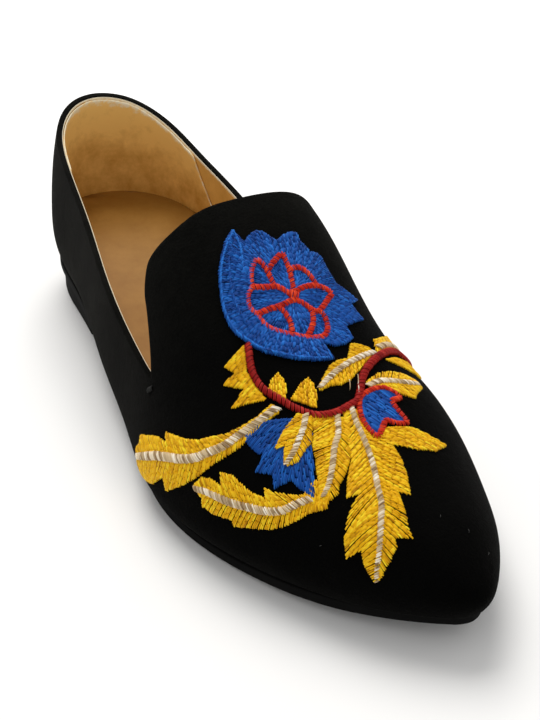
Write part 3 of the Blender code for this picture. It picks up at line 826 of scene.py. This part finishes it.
def petals(threads, inner, outer, steps):
    """Rows of stitches from an inner outline out to an outer one, all round the flower's heart."""
    turn = 0.0
    while turn < 2 * math.pi:
        way = np.array([math.cos(turn), math.sin(turn)])
        low = HEART_GAP if inner is None else spans(inner, HEART, way)[-1][1] - RING_OVERLAP
        high = spans(outer, HEART, way)[-1][1]
        rise = next(step for end, step in steps if math.degrees(turn) <= end)
        lay(threads, HEART, way, low, high, 0.1 + rise, 0.25, PETAL_STITCH)
        turn += PITCH * rng.uniform(0.75, 1.1) / (low + (high - low) * 0.7)


petals(blue, RING, FLOWER, PETAL_STEPS)
petals(blue, None, RING, [(360.0, 0.0)])
for line in PETAL_RIMS:
    column(blue, line, 1.1, 0.8, 0.25, 55, (0.6, 0.6), lighter=0.3)
for line in INNER_LINES:
    column(red, line, 1.85, 0.5, 0.45, 25)

column(red, [(1.2, 159.2), (3.6, 160.6)], 2.6, 0.6, 0.5, 0)

# Bud with its red edge
BUD = [(5.5, 195), (10.8, 194), (14.8, 194.7), (17, 198.2), (13.5, 199.2), (13.1, 202.4), (13.1, 207),
       (9.9, 206.8), (7.3, 205), (5, 206.6), (1.6, 209), (0.5, 206.3), (0.6, 203), (1.6, 200), (3.3, 197)]
fill(blue, BUD, 65, 0.1, 0.25, LONG_STITCH)
column(red, BUD + BUD[:1], 1.8, 0.4, 0.35, 25)

# Stem
STEM = [(-17.9, 168.8), (-19, 171.6), (-19.9, 173.6), (-20.9, 178), (-20.4, 182.7), (-17.7, 187.8),
        (-15, 192.5), (-11, 196.5), (-5.6, 197.8), (0, 197), (3.5, 196), (6.6, 192.8), (9.2, 189.7),
        (12.7, 186.8), (18, 183.6), (24.4, 180.6), (32, 177.8), (38, 177.5), (44, 175.5), (51, 172.5),
        (58, 168.5), (63, 165)]
column(stem, STEM, 2.4, 0.35, 0.7, 25)

# Loose thread ends: start, end, lift, arch
for start, end, lift, arch in [((5, 189), (3.2, 192.2), 0.5, 0.4), ((8.5, 188), (6.5, 191.5), 0.6, 0.5),
                               ((6.5, 191.5), (4.6, 194.8), 0.6, 0.4)]:
    cream.stitch(start, end, lift, arch, LOOSE_THREAD)


def stitch_bars():
    """Bar of stitches just ahead of the bottom of each V cut."""
    bm = merged("upper")
    for side in (-1, 1):
        rim = [vert.co.copy() for edge in bm.edges if edge.is_manifold and edge.calc_face_angle() > SHARP
               for vert in edge.verts if vert.co.z > RIM_LOWEST and vert.co.x * side > 0.01]
        bottom = np.array(min(rim, key=lambda place: place.y))
        i, j = np.unravel_index(((PLACES - bottom) ** 2).sum(axis=2).argmin(), PLACES.shape[:2])
        middle = np.array([CHART_ACROSS[j] + side * BAR_FROM_CUT[0], CHART_STATIONS[i] + BAR_FROM_CUT[1]])
        reach = np.array([0.86, -side * 0.5]) * BAR_REACH
        column(bars, [middle - reach, middle + reach], BAR_WIDTH, 0.15, 0.25, 0)
    bm.free()


stitch_bars()

# Specks of lint on the toe
for across, station in [(6.5, 244), (9, 250), (-31, 226), (1.5, 238)]:
    turn, reach = rng.uniform(0, math.pi), rng.uniform(0.25, 0.55)
    way = np.array([math.cos(turn), math.sin(turn)]) * reach
    lint.stitch(np.array([across, station]) - way, np.array([across, station]) + way, 0.1, 0.2, LINT_THREAD)

for threads in (gold, gold_lateral, gold_medial, cream, blue, royal, red, stem, bars, lint):
    threads.build()


# Stage

def make_floor():
    """Plain pale floor."""
    bm = bmesh.new()
    bmesh.ops.create_grid(bm, x_segments=1, y_segments=1, size=FLOOR_SIZE)
    data = bpy.data.meshes.new("floor")
    bm.to_mesh(data)
    bm.free()
    material, tree, shader = shader_tree("floor_white")
    shader.inputs["Base Color"].default_value = (0.93, 0.925, 0.915, 1)
    finish_of(shader, 0.8, 0.2)
    data.materials.append(material)
    floor = bpy.data.objects.new("floor", data)
    bpy.context.scene.collection.objects.link(floor)


def make_light():
    """Soft square light above and behind, aimed at the shoe, and the white surround."""
    lamp = bpy.data.lights.new("overhead", "AREA")
    lamp.shape = "SQUARE"
    lamp.size = LAMP_SIZE
    lamp.energy = LAMP_POWER
    lamp.color = (1, 0.985, 0.96)
    light = bpy.data.objects.new("overhead", lamp)
    light.location = LAMP_PLACE
    light.rotation_euler = (Vector(LAMP_AIM) - Vector(LAMP_PLACE)).to_track_quat("-Z", "Y").to_euler()
    bpy.context.scene.collection.objects.link(light)
    world = bpy.data.worlds.new("studio")
    world.use_nodes = True
    surround = world.node_tree.nodes["Background"]
    surround.inputs["Color"].default_value = (1, 1, 1, 1)
    surround.inputs["Strength"].default_value = SURROUND
    bpy.context.scene.world = world
    bpy.context.scene.view_settings.view_transform = "Standard"


def make_camera():
    """Camera at the fitted place and angle of the photograph, turned to the shoe."""
    back = Vector((math.sin(CAMERA_AZIMUTH) * math.cos(CAMERA_ELEVATION),
                   -math.cos(CAMERA_AZIMUTH) * math.cos(CAMERA_ELEVATION), math.sin(CAMERA_ELEVATION)))
    right = Vector((math.cos(CAMERA_AZIMUTH), math.sin(CAMERA_AZIMUTH), 0))
    up = back.cross(right)
    cos, sin = math.cos(CAMERA_ROLL), math.sin(CAMERA_ROLL)
    turned = Matrix((cos * right + sin * up, cos * up - sin * right, back)).transposed().to_4x4()
    aim = turned.to_3x3() @ Vector((*SHOE_MIDDLE_PIXELS, -LENS_PIXELS)).normalized()
    turned = (-back).rotation_difference(aim).to_matrix().to_4x4() @ turned
    data = bpy.data.cameras.new("camera")
    data.lens = LENS_PIXELS * LENS_GAIN / PICTURE_HEIGHT * data.sensor_width
    data.clip_start = 0.01
    camera = bpy.data.objects.new("camera", data)
    camera.matrix_world = Matrix.Translation(CAMERA_TARGET + back * CAMERA_DISTANCE) @ turned
    bpy.context.scene.collection.objects.link(camera)
    bpy.context.scene.camera = camera


make_floor()
make_camera()
make_light()
